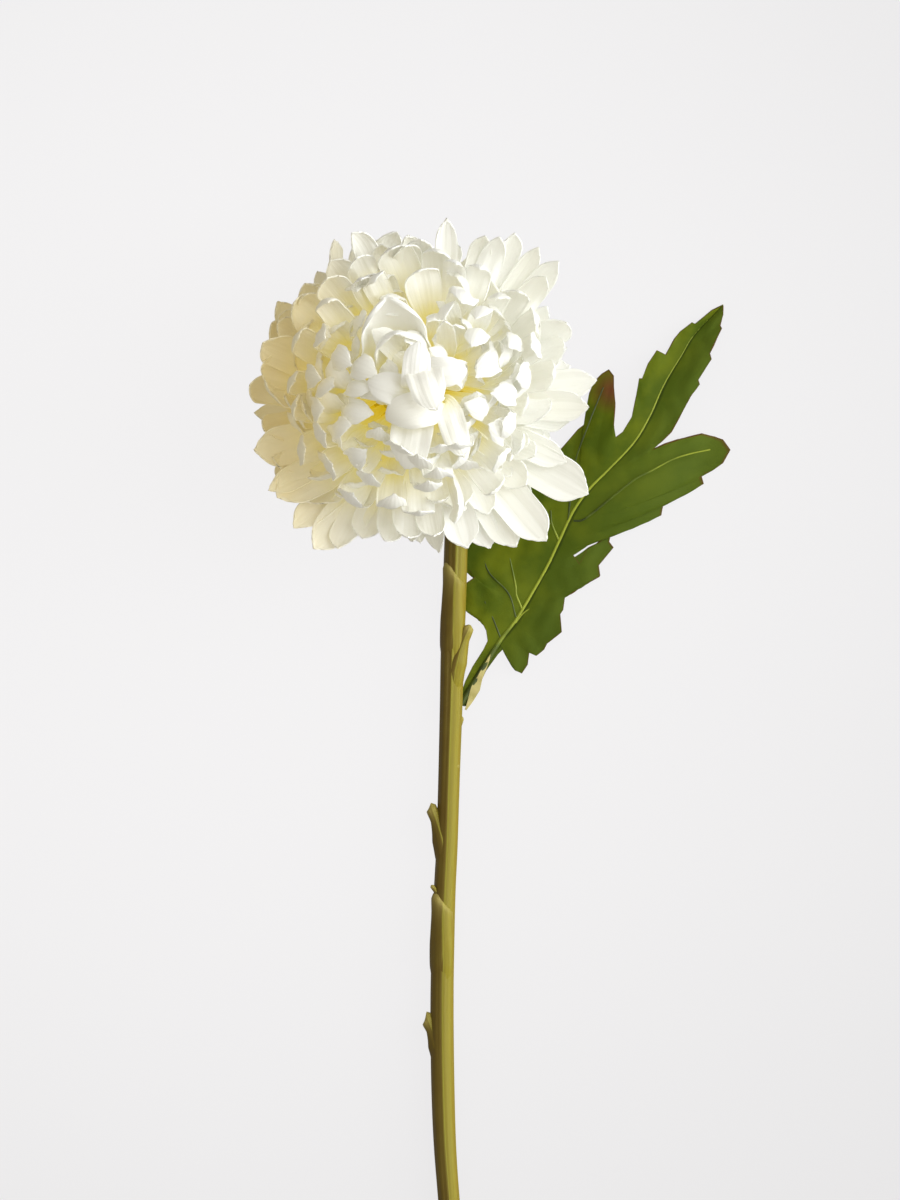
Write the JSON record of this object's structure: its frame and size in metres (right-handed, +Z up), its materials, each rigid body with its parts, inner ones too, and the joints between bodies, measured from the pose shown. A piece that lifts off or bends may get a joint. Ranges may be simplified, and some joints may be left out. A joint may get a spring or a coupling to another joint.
{
  "type": "pompon chrysanthemum",
  "caption": "Cut pompon chrysanthemum with a ball of white cupped petals, a ribbed olive stem and one lobed green leaf, lying on its side.",
  "frame": {"origin": "middle of the footprint, on the surface that the flower lies on", "axes": "+Y along the flower from the cut end of the stem to the bloom, +Z up from the surface"},
  "size_m": [0.1592, 0.4469, 0.1034],
  "materials": {
    "petal_white": "matt cream-white petals, yellow-green towards their bases",
    "bract_green": "matt dull green",
    "stem_olive": "satin olive, darker and browner on one side, ribbed along its length",
    "leaf_green": "matt deep green with light yellow-green veins and thin brown margins"
  },
  "bodies": {
    "root": {"bloom": "petal_white", "involucre": "bract_green", "stem": "stem_olive", "leaf": "leaf_green"}
  },
  "joints": []
}
